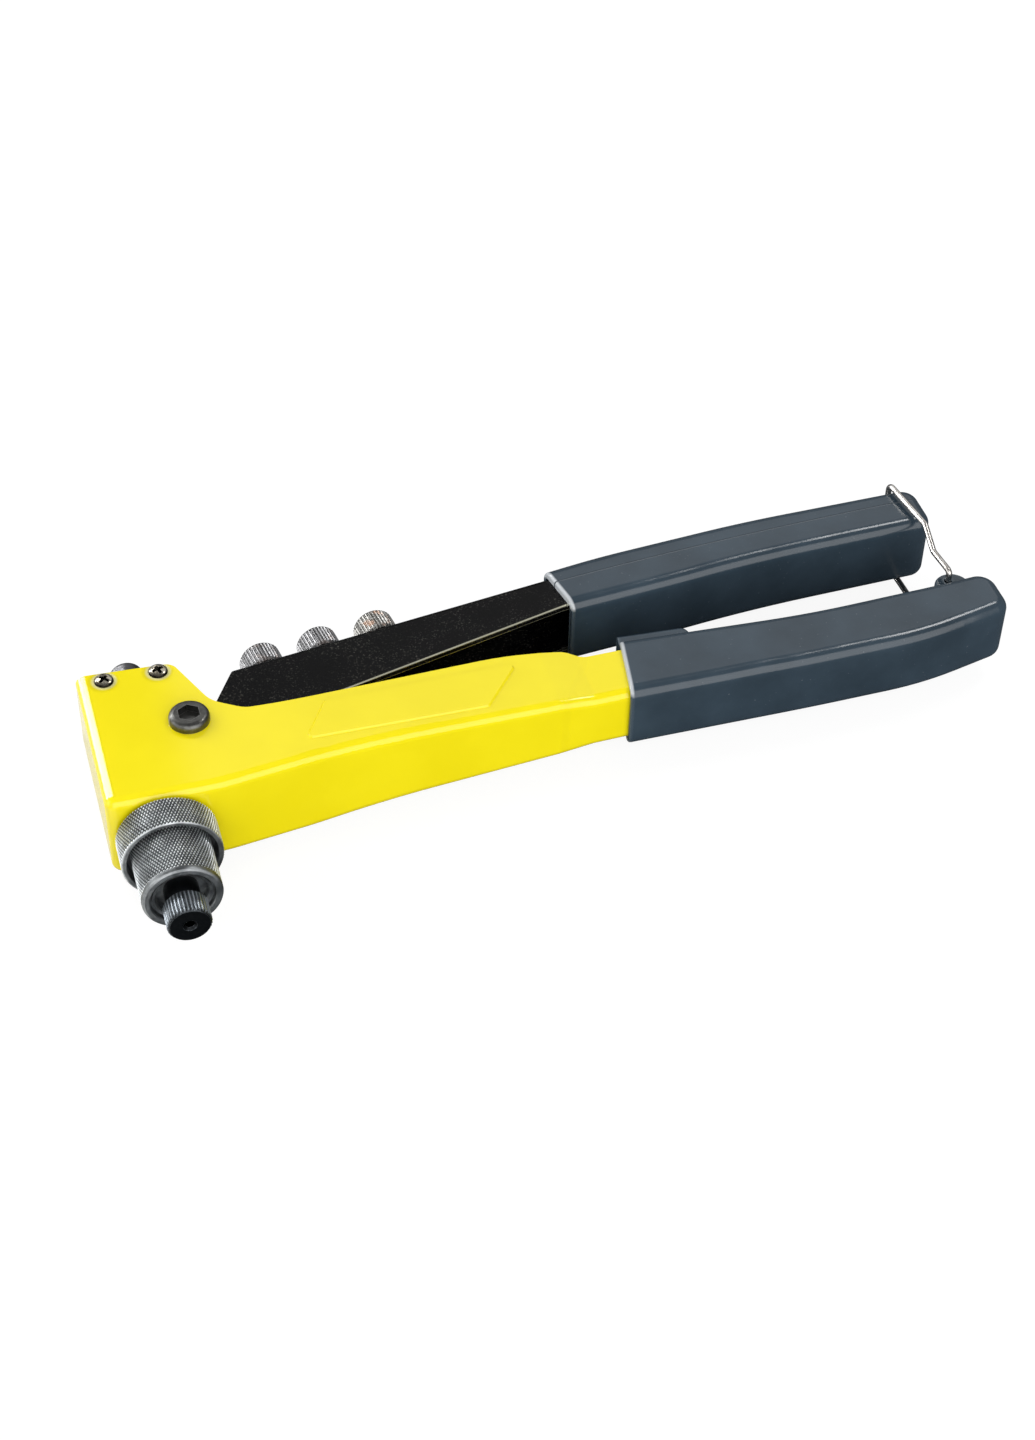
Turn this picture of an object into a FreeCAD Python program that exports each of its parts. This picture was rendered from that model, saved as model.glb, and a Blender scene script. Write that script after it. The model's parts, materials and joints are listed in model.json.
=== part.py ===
import FreeCAD, Part
import math
import os

# Hand riveter lying on its side. X runs along the handles, the nose points to -Y, Z is up.
# All sizes are in millimetres. Built with the shell's nose face at y = 0, then moved so that
# the origin lies on the nose axis, just inside the stem hole of the fitted nosepiece.

V = FreeCAD.Vector

# ---- clearances ----
run_gap = 0.05        # radial running clearance, pin in hole
side_gap = 0.10       # flat faces that slide on each other
seat_gap = 0.05       # pieces clamped or screwed together

# ---- shell (painted pressed steel) ----
shell_sheet = 2.0
head_half = 14.5      # half thickness across the head
tang_half = 9.6       # half thickness at the grip
shell_left = -16.0
shell_bend = 3.0
head_depth = 53.4     # nose face to rear edge
tang_end = 250.0
panel_rise = 0.55
panel_slope = 0.45

nose_face_y = -0.9    # the pressing bulges forward around the nose

# ---- nosepieces ----
piece_r = 6.4
piece_len = 14.5      # front face to the shoulder
piece_head_len = 8.0
piece_neck_r = 5.0
piece_thread_r = 4.0
piece_thread_len = 3.5
piece_tail_r = 3.1
piece_tail_len = 1.4
fitted_hole_r = 1.25
stored_hole_r = (1.6, 2.0, 2.5)

# ---- nose ----
nose_reach = 38.0     # shell face to the nosepiece front face
origin_inset = 1.0    # origin lies this far inside the stem hole
collar_r = 14.7
collar_front = -12.4
collar_back = -2.1
collar_recess_r = 13.1
collar_recess = 6.2
bush_flange_r = 12.6
bush_r = 11.9
bush_back = 16.0
thread_r = 10.1       # sleeve thread in bush and collar
sleeve_r = 11.6
seat_y = piece_len - nose_reach + side_gap    # the fitted nosepiece's shoulder rests here
sleeve_front = seat_y - 4.2
sleeve_knurl_back = -7.4
sleeve_back = 14.0
sleeve_bore_r = 7.6
sleeve_mouth_r = 7.4
sleeve_step_r = 9.4

# ---- lever and pivot ----
pivot_x = 13.1
pivot_y = 27.1
arm_r = 13.1          # pivot to fork finger
lever_swing = 36.0    # full opening, degrees
finger_r = 2.6
finger_web = 2.0
lever_half = 10.0
lever_sheet = 1.8
lever_bend = 2.6
boss_r = 7.0
pivot_bush_r = 4.5
pivot_bolt_r = 3.0
bolt_head_r = 6.0
bolt_head_h = 2.9
bolt_socket = 6.0     # across flats
lever_tang_end = 244.0

# ---- pull head ----
tube_r = 5.1
tube_back = 67.2
tube_shoulder_r = 6.6
stem_path_r = 2.6
flange_r = 10.5
flange_t = 3.0
flange_play = 0.35
flange_flat_x = 2.0
case_r = 7.2
pull_travel = 2.0 * arm_r * math.sin(math.radians(0.5 * lever_swing))
case_front = seat_y + piece_thread_len + pull_travel + 0.8    # clears the sleeve when fully open
case_back = 12.0
case_mouth_r = 3.6
case_bore_r = 5.6
jaw_back = 0.0
spigot_front = 5.0

# ---- rear block ----
block_front = 46.2
block_right = 10.8
screw_x = 8.0
screw_y = 49.6
screw_r = 2.0
screw_head_r = 2.9

# ---- grips (soft sleeves over the tangs) ----
grip_wall = 1.8
lower_half = 11.4
upper_half = 12.2
grip_bend = 4.0
mouth_lean = 4.0      # the mouths run square to the slanting grips
mouth_roll = 0.8
lower_mouth = 141.2
upper_mouth = 131.8
lower_end = 267.2
upper_end = 259.3

pad_half = 8.6

# ---- latch wire ----
wire_r = 0.95
wire_x = 250.9        # cross-wire position on the upper grip
wire_z = 14.2         # legs beside the upper grip
lug_x = 255.0
lug_y = 33.0
lug_r = 5.6
lug_half = 7.6
tip_gap = 0.3


# ---------------------------------------------------------------- helpers
def cyl_y(r, y0, y1, x=0.0, z=0.0):
    return Part.makeCylinder(r, y1 - y0, V(x, y0, z), V(0, 1, 0))


def cone_y(r0, r1, y0, y1):
    if abs(r0 - r1) < 1e-6:
        return cyl_y(r0, y0, y1)
    return Part.makeCone(r0, r1, y1 - y0, V(0, y0, 0), V(0, 1, 0))


def cyl_z(r, x, y, z0, z1):
    return Part.makeCylinder(r, z1 - z0, V(x, y, z0), V(0, 0, 1))


def box(x0, x1, y0, y1, z0, z1):
    return Part.makeBox(x1 - x0, y1 - y0, z1 - z0, V(x0, y0, z0))


def corner(a, b, c, r):
    """Tangent points and middle of the arc that rounds the corner b between a and c."""
    u = (a - b).normalize()
    w = (c - b).normalize()
    half = 0.5 * u.getAngle(w)
    reach = r / math.tan(half)
    bis = (u + w).normalize()
    mid = b + bis * (r / math.sin(half) - r)
    return b + u * reach, mid, b + w * reach


def rounded_path(points, radii, closed):
    """Wire through the points with every corner rounded by its own radius (0 = sharp)."""
    n = len(points)
    edges = []
    spots = []
    for i in range(n):
        r = radii[i]
        inner = closed or 0 < i < n - 1
        if r > 0 and inner:
            p, m, q = corner(points[i - 1], points[i], points[(i + 1) % n], r)
            spots.append((p, q))
            edges.append(Part.Arc(p, m, q).toShape())
        else:
            spots.append((points[i], points[i]))
            edges.append(None)
    out = []
    for i in range(n):
        if edges[i] is not None:
            out.append(edges[i])
        if closed or i < n - 1:
            a = spots[i][1]
            b = spots[(i + 1) % n][0]
            if a.distanceToPoint(b) > 1e-5:
                out.append(Part.makeLine(a, b))
    return Part.Wire(Part.__sortEdges__(out))


def plate_xy(corners, z0, z1):
    """Prism along Z from (x, y, radius) corners."""
    pts = [V(c[0], c[1], z0) for c in corners]
    wire = rounded_path(pts, [c[2] for c in corners], True)
    return Part.Face(wire).extrude(V(0, 0, z1 - z0))


def plate_xz(corners, y0, y1):
    """Prism along Y from (x, z, radius) corners."""
    pts = [V(c[0], y0, c[1]) for c in corners]
    wire = rounded_path(pts, [c[2] for c in corners], True)
    return Part.Face(wire).extrude(V(0, y1 - y0, 0))


def edges_where(shape, test):
    return [e for e in shape.Edges if test(e)]


def mirrored(corners):
    """Closed corner list from an upper half list, mirrored in the middle plane."""
    low = [(c[0], -c[1], c[2]) for c in reversed(corners)]
    return corners + low


def both_sides(shape):
    return [shape, shape.mirror(V(0, 0, 0), V(0, 0, 1))]


def group(shapes):
    return Part.makeCompound(shapes)


# ---------------------------------------------------------------- shell
def shell_taper(inset):
    """Plan of the shell's thickness: flat head, long taper, short neck, straight tang."""
    h = head_half - inset
    t = tang_half - inset
    neck = tang_half + 1.2 - inset
    half = [(-40.0, h, 0), (44.0, h, 160.0), (120.0, neck, 6.0), (131.0, t, 6.0), (300.0, t, 0)]
    return plate_xz(mirrored(half), -20.0, 90.0)


def shell_front(lift, x_left, x_end):
    """Front edge of the shell from the left corner to the tang end."""
    return [(x_left, nose_face_y + lift, 0), (17.0, nose_face_y + lift, 60.0), (66.0, 5.9 + lift, 400.0),
            (142.0, 9.9 + lift, 900.0), (215.0, 10.8 + lift, 250.0), (x_end, 15.0 + lift, 0)]


def tang_back(lift):
    """Open edge of the tang inside the lower grip."""
    return [(tang_end, 28.6 + lift, 3.0), (205.0, 27.7 + lift, 300.0), (150.0, 28.8 + lift, 60.0)]


def shell_outline():
    """Side view of the shell."""
    back = tang_back(0.0) + [(132.5, 28.4, 5.0), (127.5, 31.9, 6.0),
            (108.0, 33.2, 90.0), (43.0, 27.6, 110.0), (29.5, 28.0, 8.0), (20.5, 33.6, 10.0),
            (12.5, 52.2, 4.0), (shell_left, head_depth, 0)]
    return shell_front(0.0, shell_left, tang_end) + back


def body_shell():
    outer = plate_xy(shell_outline(), -30.0, 30.0).common(shell_taper(0.0))

    def on_bend(e):
        b = e.BoundBox
        flat = abs(b.ZMin) > tang_half - 1.0 and b.ZMin * b.ZMax > 0
        left = b.XMax < shell_left + 0.01 and b.YLength > 20
        front = b.YMax < 15.5 and b.XLength > 1.0
        return flat and (left or front)

    bends = edges_where(outer, on_bend)
    upright = edges_where(outer, lambda e: e.BoundBox.ZLength > 20 and e.BoundBox.XMax < shell_left + 0.01
                          and e.BoundBox.YMax < nose_face_y + 0.01)
    outer = outer.makeFillet(shell_bend, bends + upright)
    inside = shell_front(shell_sheet, shell_left + shell_sheet, tang_end + 10.0)
    inside += [(tang_end + 10.0, 80.0, 0), (shell_left + shell_sheet, 80.0, 0)]
    hollow = plate_xy(inside, -30.0, 30.0).common(shell_taper(shell_sheet))
    shell = outer.cut(hollow)
    panel = plate_xy([(43.5, 10.4, 1.5), (99.0, 12.6, 1.5), (112.5, 29.4, 1.5), (52.5, 25.4, 1.5)],
                     -30.0, 30.0)
    raised = panel.common(shell_taper(-panel_rise)).cut(shell_taper(0.4))

    def on_top(e):
        mid = e.valueAt(0.5 * (e.FirstParameter + e.LastParameter))
        flat = head_half + (mid.x - 44.0) * (tang_half + 1.2 - head_half) / 76.0
        return abs(mid.z) - flat > 0.5 * panel_rise

    raised = raised.makeChamfer(panel_slope, edges_where(raised, on_top))
    shell = shell.fuse(raised)
    holes = [cyl_y(bush_r - 0.6 + seat_gap, -5.0, 5.0)]
    holes.append(cyl_z(pivot_bolt_r + seat_gap, pivot_x, pivot_y, -30.0, 30.0))
    for x in (-screw_x, screw_x):
        holes.append(cyl_z(screw_r + seat_gap, x, screw_y, -30.0, 30.0))
    for h in holes:
        shell = shell.cut(h)
    return shell.removeSplitter()


# ---------------------------------------------------------------- nose parts
def nose_bush():
    inner_face = nose_face_y + shell_sheet
    body = cyl_y(bush_flange_r, collar_back + side_gap, nose_face_y)
    body = body.fuse(cyl_y(bush_r - 0.6, nose_face_y - 0.5, inner_face + 0.5))
    body = body.fuse(cyl_y(bush_r, inner_face + seat_gap, bush_back))
    return body.cut(cyl_y(thread_r + run_gap, -10.0, bush_back + 1.0)).removeSplitter()


def lock_collar():
    edge = 0.8
    ring = cone_y(collar_r - edge, collar_r, collar_front, collar_front + edge)
    ring = ring.fuse(cyl_y(collar_r, collar_front + edge, collar_back - edge))
    ring = ring.fuse(cone_y(collar_r, collar_r - edge, collar_back - edge, collar_back))
    ring = ring.cut(cyl_y(thread_r + run_gap, collar_front - 1.0, collar_back + 1.0))
    return ring.cut(cyl_y(collar_recess_r, collar_front - 1.0, collar_front + collar_recess)).removeSplitter()


def adjusting_sleeve():
    edge = 0.6
    body = cone_y(sleeve_r - edge, sleeve_r, sleeve_front, sleeve_front + edge)
    body = body.fuse(cyl_y(sleeve_r, sleeve_front + edge, sleeve_knurl_back))
    body = body.fuse(cyl_y(thread_r, sleeve_knurl_back - 1.0, sleeve_back))
    body = body.cut(cyl_y(sleeve_step_r, sleeve_front - 1.0, sleeve_front + 0.8))
    body = body.cut(cyl_y(sleeve_mouth_r, sleeve_front - 1.0, seat_y))
    body = body.cut(cyl_y(piece_thread_r + run_gap, seat_y - 1.0, seat_y + piece_thread_len + 0.2))
    body = body.cut(cyl_y(sleeve_bore_r, seat_y + piece_thread_len + 0.1, sleeve_back + 1.0))
    return body.removeSplitter()


def nosepiece(hole_r):
    """Knurled head, neck, thread and tail; its front face is at y = 0 and it points to -Y."""
    edge = 0.6
    body = cone_y(piece_r - edge, piece_r, 0.0, edge)
    body = body.fuse(cyl_y(piece_r, edge, piece_head_len - edge))
    body = body.fuse(cone_y(piece_r, piece_r - edge, piece_head_len - edge, piece_head_len))
    body = body.fuse(cyl_y(piece_neck_r, piece_head_len - 0.5, piece_len))
    thread_end = piece_len + piece_thread_len
    body = body.fuse(cyl_y(piece_thread_r, piece_len - 0.5, thread_end))
    body = body.fuse(cone_y(piece_tail_r, piece_tail_r - 0.5, thread_end, thread_end + piece_tail_len))
    body = body.cut(cyl_y(hole_r, -1.0, thread_end + piece_tail_len + 1.0))
    return body.cut(cone_y(hole_r + 0.55, hole_r, 0.0, 0.55)).removeSplitter()


# ---------------------------------------------------------------- pull head and jaws
def finger_spot():
    """Centre of the fork finger when the handles are closed."""
    a = math.radians(0.5 * lever_swing)
    return pivot_x - arm_r * math.cos(a), pivot_y + arm_r * math.sin(a)


def pull_tube():
    y_mid = finger_spot()[1]
    gap = finger_r + flange_play
    end_round = 1.6
    body = cyl_y(tube_r, case_back + 0.1, tube_back)
    rim = edges_where(body, lambda e: e.BoundBox.YMin > tube_back - 0.01)
    body = body.makeFillet(end_round, rim)
    body = body.fuse(cyl_y(case_bore_r - seat_gap, spigot_front, case_back + 0.5))
    body = body.fuse(cyl_y(tube_shoulder_r, case_back + 0.1, y_mid - gap - 0.5))
    for y0 in (y_mid - gap - flange_t, y_mid + gap):
        disc = cyl_y(flange_r, y0, y0 + flange_t)
        body = body.fuse(disc.cut(box(flange_flat_x, 20.0, y0 - 1.0, y0 + flange_t + 1.0, -20.0, 20.0)))
    body = body.cut(cyl_y(stem_path_r, spigot_front - 1.0, tube_back + 1.0))
    return body.cut(cyl_y(4.0, spigot_front - 1.0, 20.0)).removeSplitter()


def jaw_case():
    body = cyl_y(case_r, case_front, case_back)
    rim = edges_where(body, lambda e: e.BoundBox.YMax < case_front + 0.01)
    body = body.makeChamfer(0.6, rim)
    body = body.cut(cone_y(case_mouth_r, case_bore_r, case_front - 0.01, jaw_back + 1.0))
    return body.cut(cyl_y(case_bore_r, jaw_back + 1.0, case_back + 1.0)).removeSplitter()


def case_radius_at(y):
    k = (y - case_front) / (jaw_back + 1.0 - case_front)
    return case_mouth_r + k * (case_bore_r - case_mouth_r)


def jaw(index):
    """One of three wedge jaws; a third of a cone with a toothed groove for the stem."""
    front = case_front + 1.0
    play = 0.12
    cone = cone_y(case_radius_at(front) - play, case_radius_at(jaw_back) - play, front, jaw_back)
    cone = cone.cut(cyl_y(1.0, front - 1.0, jaw_back + 1.0))
    for i in range(5):
        y = front + 1.2 + 1.6 * i
        cone = cone.cut(cone_y(1.45, 0.95, y, y + 0.8))
    a0 = math.radians(120.0 * index - 57.0)
    a1 = math.radians(120.0 * index + 57.0)
    far = 12.0
    start = V(0, front - 1.0, 0)
    p = V(far * math.cos(a0), front - 1.0, far * math.sin(a0))
    m = V(far * math.cos(math.radians(120.0 * index)), front - 1.0, far * math.sin(math.radians(120.0 * index)))
    q = V(far * math.cos(a1), front - 1.0, far * math.sin(a1))
    shift = m * (0.25 / far) - V(0, m.y * 0.25 / far, 0)
    wire = Part.makePolygon([start, p, m * 1.0, q, start])
    sector = Part.Face(wire).extrude(V(0, jaw_back - front + 2.0, 0))
    sector.translate(shift)
    return cone.common(sector)


def jaw_pusher():
    head = cone_y(3.2, 5.2, jaw_back + 0.2, jaw_back + 1.6)
    head = head.fuse(cyl_y(5.2, jaw_back + 1.6, jaw_back + 2.8))
    stem = cyl_y(2.4, jaw_back + 2.0, 12.0)
    return head.fuse(stem).cut(cyl_y(1.7, -2.0, 14.0)).removeSplitter()


def coil(r_mean, r_wire, y0, y1, turns):
    """Compression spring along the nose axis, its ends inside y0 and y1."""
    pitch = (y1 - y0 - 2.0 * r_wire) / turns
    helix = Part.makeHelix(pitch, pitch * turns, r_mean)
    start = V(r_mean, 0, 0)
    lean = V(0, 2.0 * math.pi * r_mean, pitch).normalize()
    ring = Part.Wire([Part.Circle(start, lean, r_wire).toShape()])
    body = Part.Wire(helix.Edges).makePipeShell([ring], True, True)
    body.rotate(V(0, 0, 0), V(1, 0, 0), -90.0)
    body.translate(V(0, y0 + r_wire, 0))
    return body


def jaw_spring():
    return coil(3.2, 0.42, jaw_back + 2.9, 19.9, 7.0)


def return_spring():
    y0 = finger_spot()[1] + finger_r + flange_play + flange_t + 0.1
    return coil(7.4, 0.6, y0, block_front - 0.1, 4.0)


# ---------------------------------------------------------------- rear block and fasteners
def rear_block():
    left = shell_left + shell_sheet + seat_gap
    half = head_half - shell_sheet - seat_gap
    back = head_depth - 0.6
    corners = [(left, block_front, 1.0), (block_right + 1.2, block_front, 1.0),
               (block_right, back - 0.6, 2.0), (left, back, 1.0)]
    body = plate_xy(corners, -half, half)
    body = body.cut(cyl_y(tube_r + run_gap, block_front - 1.0, back + 1.0))
    for x in (-screw_x, screw_x):
        for s in both_sides(cyl_z(screw_r + seat_gap, x, screw_y, half - 6.5, half + 1.0)):
            body = body.cut(s)
    return body


def cross_recess(x, y, top, arm, width, depth):
    cut = box(x - arm, x + arm, y - width, y + width, top - depth, top + 1.0)
    return cut.fuse(box(x - width, x + width, y - arm, y + arm, top - depth, top + 1.0))


def frame_screw(x):
    """Cross-head pan screw, its head on the shell's side plate."""
    head_h = 1.2
    seat = head_half
    head = cyl_z(screw_head_r, x, screw_y, seat, seat + head_h)
    rim = edges_where(head, lambda e: e.BoundBox.ZMin > seat + head_h - 0.01)
    head = head.makeFillet(0.7, rim)
    body = head.fuse(cyl_z(screw_r, x, screw_y, seat - shell_sheet - 6.0, seat + 0.1))
    return body.cut(cross_recess(x, screw_y, seat + head_h, 1.5, 0.32, 0.9)).removeSplitter()


def frame_screws():
    out = []
    for x in (-screw_x, screw_x):
        out += both_sides(frame_screw(x))
    return group(out)


def hexagon(x, y, flats, z0, z1):
    r = flats / math.sqrt(3.0)
    pts = [V(x + r * math.cos(math.radians(60 * i + 30)), y + r * math.sin(math.radians(60 * i + 30)), z0)
           for i in range(7)]
    return Part.Face(Part.makePolygon(pts)).extrude(V(0, 0, z1 - z0))


def pivot_bolt():
    seat = head_half
    head = cyl_z(bolt_head_r, pivot_x, pivot_y, seat, seat + bolt_head_h)
    rim = edges_where(head, lambda e: e.BoundBox.ZMin > seat + bolt_head_h - 0.01)
    head = head.makeFillet(1.7, rim)
    body = head.fuse(cyl_z(pivot_bolt_r, pivot_x, pivot_y, -seat - 3.4, seat + 0.1))
    return body.cut(hexagon(pivot_x, pivot_y, bolt_socket, seat + 0.5, seat + 5.0)).removeSplitter()


def pivot_nut():
    seat = -head_half
    body = hexagon(pivot_x, pivot_y, 10.0, seat - 3.0, seat)
    lens = Part.makeCone(4.9, 6.9, 2.0, V(pivot_x, pivot_y, seat - 3.0), V(0, 0, 1))
    lens = lens.fuse(cyl_z(6.9, pivot_x, pivot_y, seat - 1.0, seat))
    body = body.common(lens)
    return body.cut(cyl_z(pivot_bolt_r + seat_gap, pivot_x, pivot_y, seat - 5.0, seat + 1.0)).removeSplitter()


def pivot_bush():
    half = head_half - shell_sheet - seat_gap
    body = cyl_z(pivot_bush_r, pivot_x, pivot_y, -half, half)
    return body.cut(cyl_z(pivot_bolt_r + seat_gap, pivot_x, pivot_y, -half - 1.0, half + 1.0))


def pivot_washers():
    z0 = lever_half + side_gap
    z1 = head_half - shell_sheet - seat_gap
    ring = cyl_z(6.6, pivot_x, pivot_y, z0, z1)
    ring = ring.cut(cyl_z(pivot_bush_r + seat_gap, pivot_x, pivot_y, z0 - 1.0, z1 + 1.0))
    return group(both_sides(ring))


# ---------------------------------------------------------------- lever
def lever_web_line():
    """Back face of the lever channel, from its front end to the tang end."""
    return [(30.6, 50.74, 0), (150.0, 69.2, 260.0), (200.0, 74.0, 420.0), (lever_tang_end, 75.2, 0)]


def web_y(x):
    """Height of the web's back face on its straight front run."""
    a, b = lever_web_line()[:2]
    return a[1] + (b[1] - a[1]) * (x - a[0]) / (b[0] - a[0])


def lever_outline():
    line = lever_web_line()
    edge = [(lever_tang_end, 61.0, 2.0), (200.0, 58.9, 300.0), (134.3, 51.9, 60.0), (14.5, 20.6, 0),
            (11.0, 30.5, 0), (19.5, 33.4, 3.0), (22.6, 37.2, 3.0)]
    return line + edge


def lever_channel():
    outer = plate_xy(lever_outline(), -lever_half, lever_half)

    def on_web(e):
        b = e.BoundBox
        flat = b.ZLength < 0.01 and abs(abs(b.ZMin) - lever_half) < 0.01
        mid = e.valueAt(0.5 * (e.FirstParameter + e.LastParameter))
        along = b.XLength > 1.0 and mid.y > 42.0 + 0.155 * mid.x and b.XMax > 30.0
        return flat and along and mid.y > 0.155 * mid.x + 40.0 and mid.x > 30.0 and mid.y > 0.09 * mid.x + 45.0

    bends = [e for e in edges_where(outer, on_web) if e.BoundBox.XMax < lever_tang_end + 0.01]
    bends = [e for e in bends if e.BoundBox.XLength > 5.0 or e.Length < 60.0]
    outer = outer.makeFillet(lever_bend, bends)
    inside = [(c[0], c[1] - lever_sheet, c[2]) for c in lever_web_line()]
    inside[0] = (10.0, web_y(10.0) - lever_sheet, 0)
    inside[-1] = (lever_tang_end + 5.0, inside[-1][1], 0)
    inside += [(lever_tang_end + 5.0, 0.0, 0), (10.0, 0.0, 0)]
    hollow = plate_xy(inside, -lever_half + lever_sheet, lever_half - lever_sheet)
    channel = outer.cut(hollow)
    z0 = lever_half - lever_sheet
    fx, fy = finger_spot()
    for s in both_sides(fork_cheek(z0, lever_half, fx, fy)):
        channel = channel.fuse(s)
    channel = channel.cut(cyl_z(pivot_bush_r + run_gap, pivot_x, pivot_y, -20.0, 20.0))
    for k in range(3):
        channel = channel.cut(placed_on_web(cyl_y(store_bush_r + seat_gap, -6.0, 6.0), k))
    return channel.removeSplitter()


def fork_cheek(z0, z1, fx, fy):
    """Pivot boss and finger that pushes on the pull head's flanges."""
    boss = cyl_z(boss_r, pivot_x, pivot_y, z0, z1)
    tip = cyl_z(finger_r, fx, fy, z0, z1)
    reach = math.hypot(fx - pivot_x, fy - pivot_y)
    arm = box(0.0, reach, -finger_web, finger_web, z0, z1)
    arm.rotate(V(0, 0, 0), V(0, 0, 1), math.degrees(math.atan2(fy - pivot_y, fx - pivot_x)))
    arm.translate(V(pivot_x, pivot_y, 0))
    return boss.fuse(tip).fuse(arm)


# three nosepieces stored along the lever's back
store_x = (42.0, 60.3, 78.8)
store_bush_r = 6.0
store_bush_rise = 1.2
store_seat = -3.2     # shoulder depth below the lever's back face


def placed_on_web(shape, k):
    """Turn a piece built along +Y at the origin onto the lever's back face."""
    s = shape.copy()
    x = store_x[k]
    s.rotate(V(0, 0, 0), V(0, 0, 1), math.degrees(math.atan(web_y(x + 1.0) - web_y(x))))
    s.translate(V(x, web_y(x), 0))
    return s


def storage_bushes():
    out = []
    for k in range(3):
        ring = cyl_y(store_bush_r, store_seat - piece_thread_len, store_bush_rise)
        ring = ring.cut(cyl_y(piece_thread_r + run_gap, -10.0, 10.0))
        ring = ring.cut(cyl_y(piece_neck_r + run_gap, store_seat, 10.0))
        out.append(placed_on_web(ring, k))
    return group(out)


def stored_nosepiece(k):
    """Nosepiece screwed tail-first into the lever's back, its front face outwards."""
    s = nosepiece(stored_hole_r[k])
    s.rotate(V(0, 0, 0), V(0, 0, 1), 180.0)
    s.translate(V(0, piece_len + store_seat + side_gap, 0))
    return placed_on_web(s, k)


# ---------------------------------------------------------------- grips
def sleeve_solid(front, back, x_mouth, half, bend):
    """Long block with rounded long edges and a rounded far end."""
    corners = front + back
    solid = plate_xy(corners, -half, half)

    def long_edge(e):
        b = e.BoundBox
        flat = b.ZLength < 0.01
        return flat and b.XMax > x_mouth + mouth_lean + 1.0

    solid = solid.makeFillet(bend, edges_where(solid, long_edge))
    mouth = min(solid.Faces, key=lambda f: f.CenterOfMass.x)
    return solid.makeFillet(mouth_roll, mouth.Edges)


def lower_grip():
    front = [(lower_mouth, 7.9, 0), (200.0, 8.3, 900.0), (238.0, 9.4, 120.0), (lower_end, 16.4, 5.5)]
    back = [(lower_end, 33.8, 6.0), (248.0, 32.3, 200.0), (205.0, 30.1, 300.0), (lower_mouth + mouth_lean, 32.6, 0)]
    body = sleeve_solid(front, back, lower_mouth, lower_half, grip_bend)
    x0 = lower_mouth + mouth_lean
    pad = plate_xy([(x0 - 0.5, 29.0, 0), (x0 + 24.0, 29.0, 0), (x0 + 22.0, 35.4, 2.5),
                    (x0 + 0.6, 36.4, 0)], -pad_half, pad_half)
    pad_top = edges_where(pad, lambda e: e.BoundBox.YMin > 34.0 and e.BoundBox.XLength > 5.0)
    body = body.fuse(pad.makeFillet(1.6, pad_top))
    lug = cyl_z(lug_r, lug_x, lug_y, -lug_half, lug_half)
    lug = lug.cut(box(lug_x - 10.0, lug_x + 10.0, lug_y - 10.0, lug_y - 2.0, -20.0, 20.0))
    rim = edges_where(lug, lambda e: e.BoundBox.YMax > lug_y + 4.0)
    body = body.fuse(lug.makeFillet(0.8, rim))
    hole_x, hole_y = tip_spot()
    for s in both_sides(cyl_z(wire_r + 0.35, hole_x, hole_y, lug_half - 3.5, lug_half + 1.0)):
        body = body.cut(s)
    gap = seat_gap
    inner = shell_front(-gap, shell_left, tang_end + 0.5)
    inner += [(tang_end + 0.5, 28.6 + side_gap, 0)] + tang_back(side_gap)[1:]
    inner.append((shell_left, 29.0, 0))
    half = tang_half + gap
    return body.cut(plate_xy(inner, -half, half)).removeSplitter()


def upper_grip():
    front = [(upper_mouth + mouth_lean, 49.4, 0), (165.0, 52.3, 600.0), (200.0, 56.6, 500.0), (upper_end, 59.3, 5.0)]
    back = [(upper_end, 77.8, 5.5), (200.0, 76.0, 420.0), (150.0, 71.2, 260.0), (upper_mouth, 68.2, 0)]
    body = sleeve_solid(front, back, upper_mouth, upper_half, grip_bend)
    gap = seat_gap
    line = lever_web_line()
    inner = [(upper_mouth - 3.0, web_y(upper_mouth - 3.0) + gap, 0), (150.0, line[1][1] + gap, 260.0),
             (200.0, line[2][1] + gap, 420.0), (lever_tang_end + 0.5, 75.2 + gap, 0),
             (lever_tang_end + 0.5, 61.0 - gap, 0), (200.0, 58.7, 300.0), (165.0, 54.0, 300.0),
             (upper_mouth - 3.0, 50.8, 0)]
    half = lever_half + gap
    body = body.cut(plate_xy(inner, -half, half))
    gx, gy = crossbar_spot()
    return body.cut(cyl_z(wire_r + run_gap, gx, gy, -20.0, 20.0)).removeSplitter()


# ---------------------------------------------------------------- latch wire
def crossbar_spot():
    """Axis of the cross-wire, snapped into the groove on the upper grip's back."""
    return wire_x, 77.2


def tip_spot():
    """Where the turned-in wire tips meet the lug."""
    return lug_x - 0.7, lug_y + 2.1


def latch_wire():
    cx, cy = crossbar_spot()
    tx, ty = tip_spot()
    tip_z = lug_half + tip_gap
    side = [V(cx, cy, wire_z), V(cx + 3.3, cy - 21.6, wire_z), V(tx - 1.2, ty + 10.2, 11.5),
            V(tx, ty, 11.3), V(tx, ty, tip_z)]
    other = [V(p.x, p.y, -p.z) for p in side]
    other[1] = V(cx + 0.9, cy - 21.6, -wire_z)
    pts = list(reversed(side)) + other
    radii = [0, 1.5, 4.0, 4.0, 2.0, 2.0, 4.0, 4.0, 1.5, 0]
    path = rounded_path(pts, radii, False)
    ring = Part.Wire([Part.Circle(pts[0], V(0, 0, 1), wire_r).toShape()])
    return path.makePipeShell([ring], True, False)


# ---------------------------------------------------------------- assembly
def fitted_nosepiece():
    s = nosepiece(fitted_hole_r)
    s.translate(V(0, -nose_reach, 0))
    return s


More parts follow.
